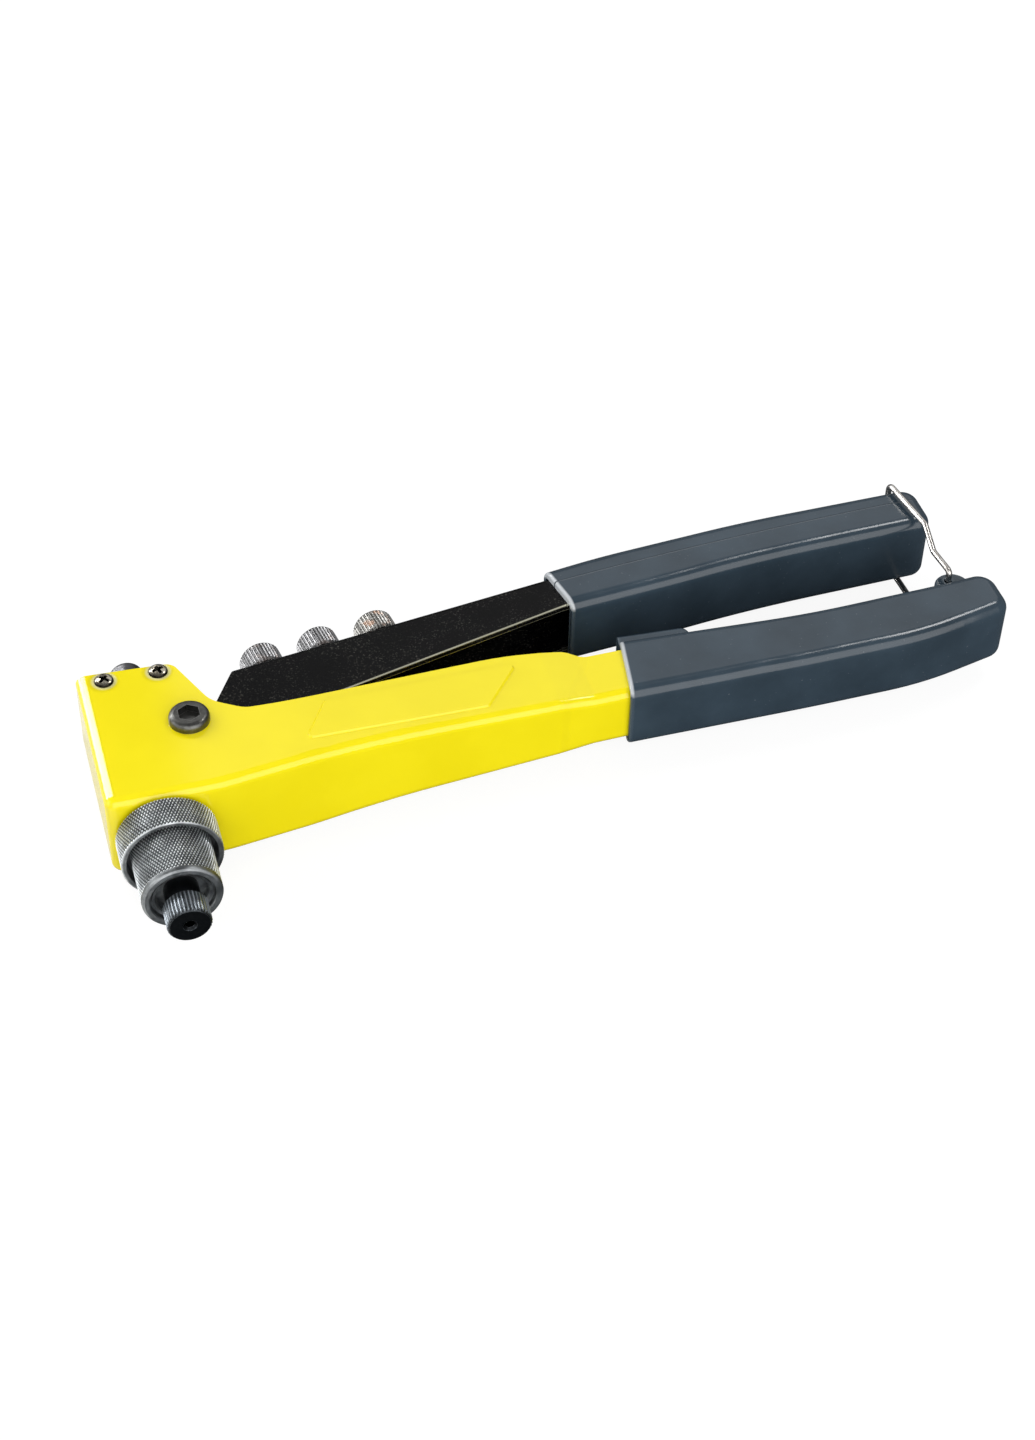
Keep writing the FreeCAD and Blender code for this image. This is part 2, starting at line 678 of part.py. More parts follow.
def build_all():
    parts = {
        "body_shell": body_shell(),
        "nose_bush": nose_bush(),
        "rear_block": rear_block(),
        "frame_screws": frame_screws(),
        "pivot_bolt": pivot_bolt(),
        "pivot_nut": pivot_nut(),
        "pivot_bush": pivot_bush(),
        "pivot_washers": pivot_washers(),
        "lower_grip": lower_grip(),
        "lock_collar": lock_collar(),
        "adjusting_sleeve": adjusting_sleeve(),
        "fitted_nosepiece": fitted_nosepiece(),
        "pull_tube": pull_tube(),
        "jaw_case": jaw_case(),
        "jaw_pusher": jaw_pusher(),
        "jaw_spring": jaw_spring(),
        "return_spring": return_spring(),
        "lever_channel": lever_channel(),
        "upper_grip": upper_grip(),
        "storage_bushes": storage_bushes(),
        "latch_wire": latch_wire(),
    }
    for i in range(3):
        parts["jaw_%d" % (i + 1)] = jaw(i)
        parts["stored_nosepiece_%d" % (i + 1)] = stored_nosepiece(i)
    return parts


os.makedirs("parts", exist_ok=True)
origin_shift = V(0, nose_reach - origin_inset, 0)
for node, shape in build_all().items():
    shape.translate(origin_shift)
    shape.exportStep("parts/" + node + ".step")
    print(node, len(shape.Solids), shape.isValid(), round(shape.Volume, 1))
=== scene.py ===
import bpy
import bmesh
import json
import math
from mathutils import Matrix, Vector


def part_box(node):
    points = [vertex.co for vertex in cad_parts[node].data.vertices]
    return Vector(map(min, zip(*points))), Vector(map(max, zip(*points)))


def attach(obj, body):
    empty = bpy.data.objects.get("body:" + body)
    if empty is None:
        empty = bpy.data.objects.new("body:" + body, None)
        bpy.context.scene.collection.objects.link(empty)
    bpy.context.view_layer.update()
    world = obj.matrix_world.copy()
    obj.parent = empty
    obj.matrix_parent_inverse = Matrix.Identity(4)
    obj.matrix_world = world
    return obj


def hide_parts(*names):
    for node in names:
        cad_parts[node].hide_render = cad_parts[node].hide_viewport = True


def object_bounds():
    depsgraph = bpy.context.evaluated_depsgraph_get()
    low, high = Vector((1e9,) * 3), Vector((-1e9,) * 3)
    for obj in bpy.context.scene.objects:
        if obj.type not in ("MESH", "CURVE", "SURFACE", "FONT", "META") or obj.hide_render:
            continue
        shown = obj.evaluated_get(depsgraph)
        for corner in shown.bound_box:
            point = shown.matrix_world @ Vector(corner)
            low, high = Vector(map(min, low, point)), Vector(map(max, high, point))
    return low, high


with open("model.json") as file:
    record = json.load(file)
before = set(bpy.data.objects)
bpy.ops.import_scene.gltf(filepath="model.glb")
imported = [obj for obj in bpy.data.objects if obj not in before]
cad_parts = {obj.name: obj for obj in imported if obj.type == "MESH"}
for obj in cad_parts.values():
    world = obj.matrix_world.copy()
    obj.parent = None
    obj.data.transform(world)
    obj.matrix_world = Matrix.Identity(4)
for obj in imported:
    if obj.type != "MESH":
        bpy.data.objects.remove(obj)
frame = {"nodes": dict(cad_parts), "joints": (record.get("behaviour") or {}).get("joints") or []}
cad_box = [list(corner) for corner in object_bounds()]
nodes = frame["nodes"]
joints = {joint["name"]: joint for joint in frame["joints"]}


# ---------------------------------------------------------------- painted body
# The body is one folded steel pressing with its fixed tang, sprayed with a thick yellow enamel
# that runs smooth over the bends and leaves a faint orange-peel on the flats.
def start_finish(name, colour, metallic, roughness):
    """New material with its shader's own colour, metallic and roughness set."""
    material = bpy.data.materials.new(name)
    material.use_nodes = True
    tree = material.node_tree
    shader = tree.nodes["Principled BSDF"]
    shader.inputs["Base Color"].default_value = (*colour, 1.0)
    shader.inputs["Metallic"].default_value = metallic
    shader.inputs["Roughness"].default_value = roughness
    return material, tree, shader


def add_node(tree, kind, values=None, **settings):
    node = tree.nodes.new(kind)
    for key, value in settings.items():
        setattr(node, key, value)
    for key, value in (values or {}).items():
        node.inputs[key].default_value = value
    return node


def new_group(name, inputs, outputs):
    """Empty shader group; inputs and outputs are (name, socket kind, start value)."""
    group = bpy.data.node_groups.new(name, "ShaderNodeTree")
    for label, kind, start in inputs:
        socket = group.interface.new_socket(label, in_out="INPUT", socket_type=kind)
        if start is not None:
            socket.default_value = start
    for label, kind in outputs:
        group.interface.new_socket(label, in_out="OUTPUT", socket_type=kind)
    return group, group.nodes.new("NodeGroupInput"), group.nodes.new("NodeGroupOutput")


def build_patches():
    """Mask of soft patches of a given size, between two levels of a noise."""
    group, come, go = new_group(
        "patches",
        [("Size", "NodeSocketFloat", 0.01), ("Detail", "NodeSocketFloat", 3.0),
         ("Low", "NodeSocketFloat", 0.35), ("High", "NodeSocketFloat", 0.65)],
        [("Mask", "NodeSocketFloat")])
    place = add_node(group, "ShaderNodeTexCoord")
    scale = add_node(group, "ShaderNodeMath", {0: 1.0}, operation="DIVIDE")
    noise = add_node(group, "ShaderNodeTexNoise")
    levels = add_node(group, "ShaderNodeMapRange", interpolation_type="SMOOTHSTEP")
    link = group.links.new
    link(come.outputs["Size"], scale.inputs[1])
    link(place.outputs["Object"], noise.inputs["Vector"])
    link(scale.outputs[0], noise.inputs["Scale"])
    link(come.outputs["Detail"], noise.inputs["Detail"])
    link(noise.outputs["Fac"], levels.inputs["Value"])
    link(come.outputs["Low"], levels.inputs["From Min"])
    link(come.outputs["High"], levels.inputs["From Max"])
    link(levels.outputs["Result"], go.inputs["Mask"])
    return group


patches = build_patches()


def add_patches(tree, size, low=0.35, high=0.65, detail=3.0):
    node = add_node(tree, "ShaderNodeGroup", node_tree=patches)
    node.inputs["Size"].default_value = size
    node.inputs["Detail"].default_value = detail
    node.inputs["Low"].default_value = low
    node.inputs["High"].default_value = high
    return node.outputs[0]


def blend_colours(tree, mask, first, second):
    """Colour that goes from first to second with the mask; either may be a socket."""
    mix = add_node(tree, "ShaderNodeMix", data_type="RGBA")
    tree.links.new(mask, mix.inputs["Factor"])
    for key, colour in ((6, first), (7, second)):
        if isinstance(colour, tuple):
            mix.inputs[key].default_value = (*colour, 1.0)
        else:
            tree.links.new(colour, mix.inputs[key])
    return mix.outputs[2]


def blend_values(tree, mask, first, second):
    level = add_node(tree, "ShaderNodeMapRange", {"To Min": first, "To Max": second})
    tree.links.new(mask, level.inputs["Value"])
    return level.outputs["Result"]


def add_bump(tree, height, distance, strength=1.0, after=None):
    bump = add_node(tree, "ShaderNodeBump", {"Strength": strength, "Distance": distance})
    tree.links.new(height, bump.inputs["Height"])
    if after is not None:
        tree.links.new(after, bump.inputs["Normal"])
    return bump.outputs["Normal"]


def yellow_enamel():
    material, tree, shader = start_finish("yellow_enamel", (0.93, 0.79, 0.008), 0.0, 0.3)
    link = tree.links.new
    cloud = add_patches(tree, 0.03)
    skin = blend_colours(tree, cloud, (0.91, 0.765, 0.004), (0.945, 0.80, 0.006))
    grain = add_patches(tree, 0.0016, 0.3, 0.7, 2.0)
    link(blend_values(tree, grain, 0.24, 0.34), shader.inputs["Roughness"])
    wave = add_bump(tree, cloud, 0.00012, 0.5)
    place = add_node(tree, "ShaderNodeTexCoord")
    folded = add_node(tree, "ShaderNodeVectorMath", operation="ABSOLUTE")
    link(place.outputs["Object"], folded.inputs[0])
    level = add_node(tree, "ShaderNodeVectorMath", {1: (1.0, 1.0, 0.0)}, operation="MULTIPLY")
    link(folded.outputs[0], level.inputs[0])
    reach = add_node(tree, "ShaderNodeVectorMath", {1: (screw_x, screw_y, 0.0)}, operation="DISTANCE")
    link(level.outputs[0], reach.inputs[0])
    dimple = add_node(tree, "ShaderNodeMapRange", {"From Min": 0.0026, "From Max": 0.0050},
                      interpolation_type="SMOOTHSTEP")
    link(reach.outputs["Value"], dimple.inputs["Value"])
    # Painted highlight: a pale ring in the paint round each screw dimple, where its rim catches the
    # light.
    halo = add_node(tree, "ShaderNodeMapRange", {"From Min": 0.0042, "From Max": 0.0031, "To Max": 0.7},
                    interpolation_type="SMOOTHSTEP")
    link(reach.outputs["Value"], halo.inputs["Value"])
    skin_with_painted_halo = blend_colours(tree, halo.outputs["Result"], skin, (0.98, 0.95, 0.55))
    link(skin_with_painted_halo, shader.inputs["Base Color"])
    fold = add_node(tree, "ShaderNodeVectorMath", {1: (fold_way.y, -fold_way.x, 0.0)},
                    operation="DOT_PRODUCT")
    link(place.outputs["Object"], fold.inputs[0])
    pinch = add_node(tree, "ShaderNodeMapRange",
                     {"From Min": fold_offset - 0.0024, "From Max": fold_offset + 0.0008},
                     interpolation_type="SMOOTHSTEP")
    link(fold.outputs["Value"], pinch.inputs["Value"])
    creased = add_bump(tree, pinch.outputs["Result"], -0.0009, 1.0, wave)
    sunk = add_bump(tree, dimple.outputs["Result"], 0.0007, 1.0, creased)
    link(add_bump(tree, grain, 0.000012, 0.6, sunk), shader.inputs["Normal"])
    shader.inputs["Coat Weight"].default_value = 1.0
    shader.inputs["Coat Roughness"].default_value = 0.09
    shader.inputs["Specular IOR Level"].default_value = 0.0
    return material


def dress(name, material):
    """Give a carried-over part its finish."""
    part = nodes[name]
    part.data.materials.clear()
    part.data.materials.append(material)


screw_low, screw_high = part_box("frame_screws")
screw_head_r = 0.0029
screw_x = screw_high.x - screw_head_r
screw_y = (screw_low.y + screw_high.y) / 2.0
fold_top = Vector((0.1323, 0.0649, 0.0))
fold_way = (Vector((0.1225, 0.0489, 0.0)) - fold_top).normalized()
fold_offset = fold_top.x * fold_way.y - fold_top.y * fold_way.x
enamel = yellow_enamel()
dress("body_shell", enamel)


# ---------------------------------------------------------------- plain steel parts
# Bush, guide block, bearing sleeve, spacers, jaws, springs and the pull tube are turned or cut
# steel, oiled dark or left bright; their edges are rubbed and the faces keep fine tool marks.
# The same edge mask serves the rubbed steel edges and the painted highlight on the vinyl ridges.
def build_edge_wear_and_sheen():
    """Mask that rises where an edge turns within the given radius."""
    group, come, go = new_group("edge_wear_and_sheen", [("Radius", "NodeSocketFloat", 0.0003)],
                                [("Mask", "NodeSocketFloat")])
    soft = add_node(group, "ShaderNodeBevel", samples=4)
    real = add_node(group, "ShaderNodeNewGeometry")
    turn = add_node(group, "ShaderNodeVectorMath", operation="DOT_PRODUCT")
    rise = add_node(group, "ShaderNodeMapRange", {"From Min": 0.995, "From Max": 0.86})
    link = group.links.new
    link(come.outputs["Radius"], soft.inputs["Radius"])
    link(soft.outputs["Normal"], turn.inputs[0])
    link(real.outputs["Normal"], turn.inputs[1])
    link(turn.outputs["Value"], rise.inputs["Value"])
    link(rise.outputs["Result"], go.inputs["Mask"])
    return group


edge_wear_and_sheen = build_edge_wear_and_sheen()


def add_edge_wear_and_sheen(tree, radius):
    node = add_node(tree, "ShaderNodeGroup", node_tree=edge_wear_and_sheen)
    node.inputs["Radius"].default_value = radius
    return node.outputs[0]


def plain_steel(name, dark, bright, roughness, mark_size):
    """Steel with darker and brighter patches, rubbed edges and fine marks."""
    material, tree, shader = start_finish(name, bright, 1.0, roughness)
    link = tree.links.new
    tint = blend_colours(tree, add_patches(tree, mark_size * 6.0), dark, bright)
    edge = tuple(min(0.85, 1.6 * c + 0.12) for c in bright)
    link(blend_colours(tree, add_edge_wear_and_sheen(tree, 0.0003), tint, edge), shader.inputs["Base Color"])
    marks = add_patches(tree, mark_size, 0.3, 0.7, 4.0)
    sheen = blend_values(tree, marks, roughness * 0.8, min(0.9, roughness * 1.3))
    link(sheen, shader.inputs["Roughness"])
    link(add_bump(tree, marks, 0.00001, 0.5), shader.inputs["Normal"])
    return material


oiled_steel = plain_steel("oiled_steel", (0.10, 0.10, 0.105), (0.17, 0.17, 0.175), 0.36, 0.0009)
turned_steel = plain_steel("turned_steel", (0.40, 0.40, 0.40), (0.52, 0.52, 0.51), 0.30, 0.0006)
hard_steel = plain_steel("hard_steel", (0.26, 0.26, 0.27), (0.36, 0.36, 0.37), 0.33, 0.0006)
spring_wire = plain_steel("spring_wire", (0.34, 0.34, 0.35), (0.46, 0.46, 0.46), 0.28, 0.0005)
zinc_plate = plain_steel("zinc_plate", (0.60, 0.59, 0.56), (0.74, 0.73, 0.70), 0.24, 0.0007)
gun_bolt = plain_steel("gun_bolt", (0.10, 0.10, 0.096), (0.14, 0.14, 0.132), 0.34, 0.0003)
for part_names, part_finish, part_slot in (
        (("nose_bush", "pull_tube", "jaw_case"), oiled_steel, "blued_steel"),
        (("rear_block",), oiled_steel, "block_steel"),
        (("pivot_bush", "pivot_washers"), turned_steel, "bearing_steel"),
        (("jaw_1", "jaw_2", "jaw_3", "jaw_pusher"), hard_steel, "jaw_steel"),
        (("jaw_spring", "return_spring"), spring_wire, "spring_steel"),
        (("storage_bushes",), zinc_plate, "bush_plate"),
        (("pivot_bolt", "pivot_nut"), gun_bolt, "bolt_steel")):
    for part_name in part_names:
        dress(part_name, part_finish)


# ---------------------------------------------------------------- knurled nose rings
# The locking collar and the adjusting sleeve are turned from bar with a diamond knurl rolled in
# and phosphated grey: the pyramid tops are rubbed bright, the plain bands and recesses are dark,
# the groove bottoms are painted darker as shade, and the collar's front edge is rubbed and carries
# a painted highlight line.
def full_turn(bm, verts, edges, axis, steps):
    """Turn an outline right round the axis and close the mesh."""
    bmesh.ops.spin(bm, geom=verts + edges, cent=(0, 0, 0), axis=axis, dvec=(0, 0, 0),
                   angle=2.0 * math.pi, steps=steps, use_merge=True)
    bmesh.ops.remove_doubles(bm, verts=bm.verts, dist=1e-7)
    bmesh.ops.recalc_face_normals(bm, faces=bm.faces)


def spin_profile(profile, steps):
    """Closed ring turned about the nose direction from (radius, y) points in metres."""
    bm = bmesh.new()
    verts = [bm.verts.new((r, y, 0.0)) for r, y in profile]
    edges = [bm.edges.new((verts[i], verts[(i + 1) % len(verts)])) for i in range(len(verts))]
    full_turn(bm, verts, edges, (0, 1, 0), steps)
    return bm


def band(r, y0, y1, rows):
    return [(r, y0 + (y1 - y0) * k / rows) for k in range(rows + 1)]


def step_of(v, steps):
    return round(math.atan2(v.co.z, v.co.x) * steps / (2.0 * math.pi)) % steps


def set_wear_and_painted_light(bm, plain):
    """Point value for how much the steel is rubbed bright, low values painting shade, plain level to
    start.
    """
    layer = bm.verts.layers.float.new("wear_and_painted_light")
    for v in bm.verts:
        v[layer] = plain
    return layer


def press_diamonds(bm, r, y0, y1, rows, steps, depth, rim):
    """Diamond knurl: every second point of the band's grid goes down into a groove crossing."""
    layer = set_wear_and_painted_light(bm, 0.37)
    low = []
    for v in bm.verts:
        radius = math.hypot(v.co.x, v.co.z)
        if abs(radius - r) > 1e-6 or not y0 - 1e-6 < v.co.y < y1 + 1e-6:
            # Points at the outer edge get the rim level: rubbed edges, and on the collar a painted
            # highlight line round the front.
            if radius > r - 0.0003:
                v[layer] = rim
            continue
        row = round((v.co.y - y0) / (y1 - y0) * rows)
        if (step_of(v, steps) + row) % 2:
            v[layer] = 1.0
            continue
        # Painted shade: the groove points get the lowest level, which paints them near black.
        v[layer] = 0.0
        v.co.x *= (r - depth) / r
        v.co.z *= (r - depth) / r
        low.append(v)
    bmesh.ops.connect_verts(bm, verts=low)


def finish_mesh(bm, name, material, flat_over):
    """Mesh object from a bmesh, smooth but for edges turned more than flat_over degrees."""
    for f in bm.faces:
        f.smooth = True
    for e in bm.edges:
        e.smooth = len(e.link_faces) == 2 and e.calc_face_angle(0.0) < math.radians(flat_over)
    mesh = bpy.data.meshes.new(name)
    bm.to_mesh(mesh)
    bm.free()
    mesh.materials.append(material)
    piece = bpy.data.objects.new(name, mesh)
    bpy.context.scene.collection.objects.link(piece)
    return piece


def knurled_steel():
    material, tree, shader = start_finish("knurled_steel", (0.2, 0.2, 0.21), 1.0, 0.35)
    link = tree.links.new
    wear_and_light_level = add_node(tree, "ShaderNodeAttribute", attribute_name="wear_and_painted_light")
    patch = add_patches(tree, 0.004)
    amount = add_node(tree, "ShaderNodeMath", operation="MULTIPLY")
    link(wear_and_light_level.outputs["Fac"], amount.inputs[0])
    link(blend_values(tree, patch, 0.72, 1.0), amount.inputs[1])
    # The lowest level paints shade into the groove bottoms; the top level is the rubbed bright steel of
    # the pyramid tops.
    crest = add_node(tree, "ShaderNodeMapRange", {"From Min": 0.10, "From Max": 0.72},
                     interpolation_type="SMOOTHSTEP")
    link(amount.outputs[0], crest.inputs["Value"])
    tint = blend_colours(tree, crest.outputs["Result"], (0.030, 0.034, 0.038), (0.94, 0.98, 1.0))
    wear_and_painted_light = blend_colours(tree, add_edge_wear_and_sheen(tree, 0.00012), tint, (0.42, 0.44, 0.46))
    link(wear_and_painted_light, shader.inputs["Base Color"])
    smear = add_patches(tree, 0.0007, 0.3, 0.7, 4.0)
    link(blend_values(tree, smear, 0.40, 0.52), shader.inputs["Roughness"])
    pits = add_patches(tree, 0.0005, 0.3, 0.7, 4.0)
    link(add_bump(tree, pits, 0.000008, 0.5), shader.inputs["Normal"])
    return material


def stands_for(piece, node, body):
    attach(piece, body)
    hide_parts(node)


nose_steel = knurled_steel()
diamond_depth = 0.00046

collar_low, collar_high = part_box("lock_collar")
collar_r = collar_high.x
collar_front = collar_low.y
collar_back = collar_high.y
collar_bore = 0.01015
collar_recess_r = 0.0131
collar_recess = 0.0062
collar_rows = 10
collar_steps = 184
collar_knurl = (collar_front + 0.00045, collar_back - 0.00045)
collar_profile = [(collar_recess_r, collar_front + collar_recess),
                  (collar_recess_r, collar_front + 0.0002),
                  (collar_recess_r + 0.0002, collar_front), (collar_r - 0.0006, collar_front),
                  (collar_r - 0.0002, collar_front + 0.0002)]
collar_profile += band(collar_r, collar_knurl[0], collar_knurl[1], collar_rows)
collar_profile += [(collar_r - 0.0006, collar_back), (collar_bore, collar_back),
                   (collar_bore, collar_front + collar_recess)]
collar_mesh = spin_profile(collar_profile, collar_steps)
press_diamonds(collar_mesh, collar_r, collar_knurl[0], collar_knurl[1], collar_rows, collar_steps,
               diamond_depth, 0.55)
collar_ring = finish_mesh(collar_mesh, "collar_ring", nose_steel, 22.0)
stands_for(collar_ring, "lock_collar", "collar")

sleeve_low, sleeve_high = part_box("adjusting_sleeve")
sleeve_r = sleeve_high.x
sleeve_front = sleeve_low.y
sleeve_back = sleeve_high.y
sleeve_knurl = (sleeve_front + 0.0019, 0.0290)
sleeve_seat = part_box("fitted_nosepiece")[0].y + 0.0146
sleeve_rows = 20
sleeve_steps = 146
sleeve_mouth_r = 0.0074
sleeve_thread_r = 0.0101
sleeve_bore_r = 0.0076
seat_hole_r = 0.00405
seat_back = sleeve_seat + 0.0036
neck_start = 0.0296
sleeve_profile = [(sleeve_mouth_r, sleeve_seat), (sleeve_mouth_r, sleeve_front + 0.0016),
                  (0.0078, sleeve_front + 0.0011), (0.0085, sleeve_front + 0.0009),
                  (0.0086, sleeve_front + 0.0018), (0.0091, sleeve_front + 0.0018),
                  (0.0092, sleeve_front + 0.0003), (0.0095, sleeve_front),
                  (sleeve_r - 0.0009, sleeve_front), (sleeve_r - 0.0003, sleeve_front + 0.0003),
                  (sleeve_r - 0.0001, sleeve_front + 0.0008), (sleeve_r - 0.0001, sleeve_front + 0.0016)]
sleeve_profile += band(sleeve_r, sleeve_knurl[0], sleeve_knurl[1], sleeve_rows)
sleeve_profile += [(0.0109, neck_start), (sleeve_thread_r, neck_start),
                   (sleeve_thread_r, sleeve_back - 0.0005), (0.0096, sleeve_back),
                   (sleeve_bore_r, sleeve_back), (sleeve_bore_r, seat_back),
                   (seat_hole_r, seat_back), (seat_hole_r, sleeve_seat)]
sleeve_mesh = spin_profile(sleeve_profile, sleeve_steps)
press_diamonds(sleeve_mesh, sleeve_r, sleeve_knurl[0], sleeve_knurl[1], sleeve_rows, sleeve_steps,
               diamond_depth, 0.3)
depth_sleeve = finish_mesh(sleeve_mesh, "depth_sleeve", nose_steel, 22.0)
stands_for(depth_sleeve, "adjusting_sleeve", "sleeve")


# ---------------------------------------------------------------- cross-head screws
# Four short nickelled pan screws hold the pressing to the nose block, two on each side. Their
# cross recesses are deep and tapered, and their bottoms are painted near black as shade.
def screw_body():
    """Pan screw looking along +Z, its seat at z = 0."""
    r = screw_head_r
    profile = [(0.0, -0.0050), (0.0018, -0.0050), (0.0020, -0.0046), (0.0020, 0.0), (r - 0.0001, 0.0),
               (r, 0.0002), (r, 0.0006), (r * 0.96, 0.0010), (r * 0.86, 0.0013), (r * 0.6, 0.00155),
               (r * 0.3, 0.00165), (0.0, screw_head_h)]
    bm = bmesh.new()
    verts = [bm.verts.new((radius, 0.0, z)) for radius, z in profile]
    edges = [bm.edges.new(pair) for pair in zip(verts, verts[1:])]
    full_turn(bm, verts, edges, (0, 0, 1), 64)
    return bm


def cross_cutter(reach, half_width, depth):
    """Tapered cross, wide above z = 0 and narrow at the bottom."""
    bm = bmesh.new()
    rings = []
    for z, scale in ((0.0008, 1.12), (-depth, 0.55)):
        ring = []
        for turn in range(4):
            angle = Matrix.Rotation(math.pi / 2.0 * turn, 3, "Z")
            for x, y in ((reach, -half_width), (reach, half_width), (half_width, half_width)):
                ring.append(bm.verts.new(angle @ Vector((x * scale, y * scale, z))))
        rings.append(ring)
    bm.faces.new(rings[0])
    bm.faces.new(list(reversed(rings[1])))
    for i in range(12):
        j = (i + 1) % 12
        bm.faces.new((rings[0][j], rings[0][i], rings[1][i], rings[1][j]))
    bmesh.ops.recalc_face_normals(bm, faces=bm.faces)
    return bm


def nickel_plate():
    material, tree, shader = start_finish("nickel_plate", (0.5, 0.46, 0.38), 1.0, 0.25)
    link = tree.links.new
    place = add_node(tree, "ShaderNodeTexCoord")
    height = add_node(tree, "ShaderNodeSeparateXYZ")
    link(place.outputs["Object"], height.inputs[0])
    level = add_node(tree, "ShaderNodeMath", operation="ABSOLUTE")
    link(height.outputs["Z"], level.inputs[0])
    # Painted shade: below the top of the heads the cross recesses are painted near black.
    sunk = add_node(tree, "ShaderNodeMapRange", {"From Min": screw_high.z - 0.0002,
                                                 "From Max": screw_high.z - 0.00055})
    link(level.outputs[0], sunk.inputs["Value"])
    plate = blend_colours(tree, add_patches(tree, 0.0015), (0.40, 0.35, 0.26), (0.62, 0.58, 0.48))
    recess_shade = blend_colours(tree, sunk.outputs["Result"], plate, (0.014, 0.012, 0.009))
    wear_and_painted_light = blend_colours(tree, add_edge_wear_and_sheen(tree, 0.00012), recess_shade, (0.62, 0.59, 0.52))
    link(wear_and_painted_light, shader.inputs["Base Color"])
    smear = add_patches(tree, 0.0007, 0.3, 0.7, 3.0)
    link(blend_values(tree, smear, 0.18, 0.36), shader.inputs["Roughness"])
    return material


screw_head_h = 0.0017
nickel = nickel_plate()
screw_head = finish_mesh(screw_body(), "screw_head", nickel, 35.0)
screw_cross = finish_mesh(cross_cutter(0.00225, 0.00062, 0.0013), "screw_cross", nickel, 1.0)
screw_cross.location.z = screw_head_h
recess = screw_head.modifiers.new("recess", "BOOLEAN")
recess.operation = "DIFFERENCE"
recess.object = screw_cross
recess.solver = "EXACT"
bpy.context.view_layer.update()
shown_head = screw_head.evaluated_get(bpy.context.evaluated_depsgraph_get())
cut_head = bpy.data.meshes.new_from_object(shown_head)
screws_mesh = bmesh.new()
for screw_side in (1.0, -1.0):
    for screw_place, screw_turn in ((screw_x, 0.35), (-screw_x, 0.80)):
        seat = Vector((screw_place, screw_y, screw_side * (screw_high.z - screw_head_h)))
        flip = Matrix.Rotation(0.0 if screw_side > 0.0 else math.pi, 4, "Y")
        one = cut_head.copy()
        one.transform(Matrix.Translation(seat) @ flip @ Matrix.Rotation(screw_turn, 4, "Z"))
        screws_mesh.from_mesh(one)
        bpy.data.meshes.remove(one)
pan_screws = finish_mesh(screws_mesh, "pan_screws", nickel, 35.0)
bpy.data.objects.remove(screw_head)
bpy.data.objects.remove(screw_cross)
stands_for(pan_screws, "frame_screws", "frame")


# ---------------------------------------------------------------- nosepieces
# Four hardened nosepieces, one fitted and three kept on the lever. Each has a straight knurl cut
# along its head, a flat dark face with a countersunk stem hole, a neck and a short thread.
def piece_body(hole):
    """Nosepiece pointing to -Y with its front face at y = 0."""
    r = 0.0064
    neck_r = 0.0050
    thread_r = 0.0040
    head_back = 0.0080
    shoulder = 0.0145
    thread_back = 0.0180
    tail = 0.0194
    tooth_depth = 0.00032
    steps = 36 * 4
    profile = [(hole, 0.0008), (hole + 0.0006, 0.0), (r - 0.0007, 0.0), (r - 0.00045, 0.0002)]
    profile += band(r, 0.0008, 0.0072, 4)
    profile += [(r - 0.0007, head_back), (neck_r, head_back), (neck_r, shoulder), (thread_r, shoulder),
                (thread_r, thread_back), (0.0031, thread_back), (0.0026, tail), (hole, tail)]
    bm = spin_profile(profile, steps)
    layer = set_wear_and_painted_light(bm, 0.05)
    for v in bm.verts:
        radius = math.hypot(v.co.x, v.co.z)
        if abs(radius - r) < 1e-6:
            low = step_of(v, steps) % 4 in (1, 2)
            v[layer] = 0.08 if low else 1.0
            if low:
                v.co.x *= (r - tooth_depth) / r
                v.co.z *= (r - tooth_depth) / r
        # Painted shade: the stem hole's points get the lowest level, which paints the bore dark.
        elif radius < hole + 0.0001:
            v[layer] = 0.0
    return bm


def piece_steel(name, dark, bright, rust):
    """Gunmetal with bright knurl tops; rust is None or the amount of brown bloom."""
    material, tree, shader = start_finish(name, dark, 1.0, 0.36)
    link = tree.links.new
    wear_and_light_level = add_node(tree, "ShaderNodeAttribute", attribute_name="wear_and_painted_light")
    tint = blend_colours(tree, wear_and_light_level.outputs["Fac"], dark, bright)
    # The edge mask lightens every sharp edge: rubbed steel, and a painted highlight round the
    # countersink.
    edge = tuple(min(0.8, c * 1.15) for c in bright)
    tint = blend_colours(tree, add_edge_wear_and_sheen(tree, 0.00015), tint, edge)
    if rust is not None:
        bloom = add_patches(tree, 0.0035, 0.50, 0.66, 5.0)
        amount = add_node(tree, "ShaderNodeMath", {1: rust}, operation="MULTIPLY")
        link(bloom, amount.inputs[0])
        tint = blend_colours(tree, amount.outputs[0], tint, (0.36, 0.20, 0.12))
        link(blend_values(tree, amount.outputs[0], 1.0, 0.35), shader.inputs["Metallic"])
    link(tint, shader.inputs["Base Color"])
    marks = add_patches(tree, 0.0006, 0.3, 0.7, 4.0)
    link(blend_values(tree, marks, 0.28, 0.44), shader.inputs["Roughness"])
    link(add_bump(tree, marks, 0.000008, 0.5), shader.inputs["Normal"])
    return material


def place_piece(name, node, body, hole, material, face, out):
    """Turn a nosepiece so its front looks along out, with its front face centre at face."""
    bm = piece_body(hole)
    turn = Vector((0.0, -1.0, 0.0)).rotation_difference(out).to_matrix().to_4x4()
    bmesh.ops.transform(bm, matrix=Matrix.Translation(face) @ turn, verts=bm.verts)
    piece = finish_mesh(bm, name, material, 25.0)
    stands_for(piece, node, body)
    return piece


def front_face(node, anchor, out):
    """Point on the axis level with the furthest point of a part along out."""
    reach = max((v.co - anchor).dot(out) for v in nodes[node].data.vertices)
    return anchor + out * reach


